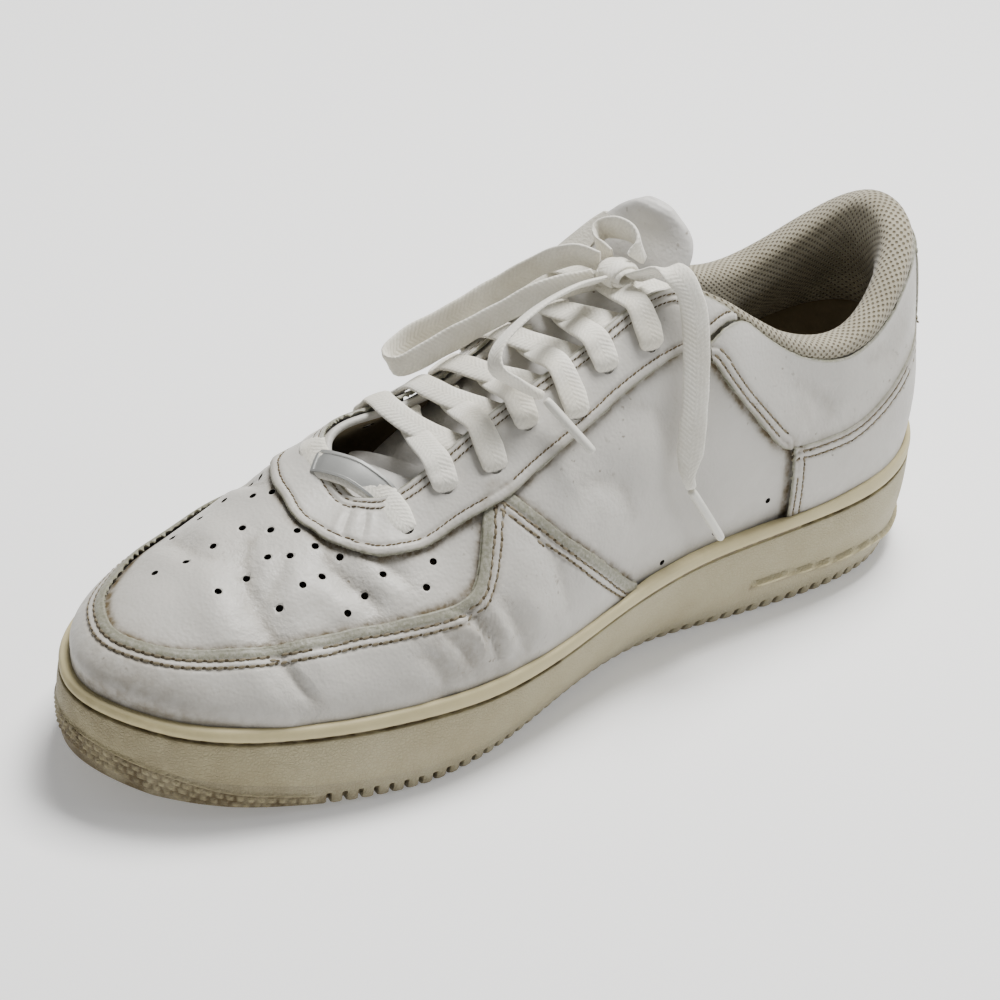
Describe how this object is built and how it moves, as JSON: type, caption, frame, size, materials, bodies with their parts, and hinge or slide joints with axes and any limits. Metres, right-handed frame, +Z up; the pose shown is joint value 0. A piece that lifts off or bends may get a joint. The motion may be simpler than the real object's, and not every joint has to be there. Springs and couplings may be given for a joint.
{
  "type": "low-top leather sneaker",
  "caption": "Worn low-top white leather basketball sneaker for the right foot, on a yellowed cupsole with a toothed tread edge, laced and tied in a bow over an open collar.",
  "frame": {"origin": "On the floor under the middle of the shoe's box, its free laces left out.", "axes": "+Z up, +X to the medial side of the right foot, the toe to -Y and the heel to +Y."},
  "size_m": [0.1123, 0.3008, 0.1342],
  "materials": {
    "leather": "worn off-white coated leather, creased and scuffed",
    "lining": "grey-tan spacer mesh, matt",
    "sole_side": "yellowed pebbled rubber with dirt in its groove",
    "tread": "dirty moulded rubber",
    "lace": "flat woven white lace",
    "lace_tip": "wrapped clear film over white lace",
    "plate": "dull plain metal"
  },
  "bodies": {
    "root": {"outsole": "tread", "midsole": "sole_side", "insole": "lining", "upper": "leather", "toe_panel": "leather", "eyestay": "leather", "collar_panel": "leather", "heel_counter": "leather", "heel_tab": "leather", "collar_lining": "lining", "tongue": "leather", "lace_bar_1": "lace", "lace_crossing_2": "lace", "lace_crossing_3": "lace", "lace_crossing_4": "lace", "lace_crossing_5": "lace", "lace_crossing_6": "lace", "lace_crossing_7": "lace", "lace_tag": "plate", "lace_knot": "lace", "lace_loop_large": "lace", "lace_loop_small": "lace", "lace_end_long": "lace", "lace_end_short": "lace", "aglet_long": "lace_tip", "aglet_short": "lace_tip"}
  },
  "joints": []
}
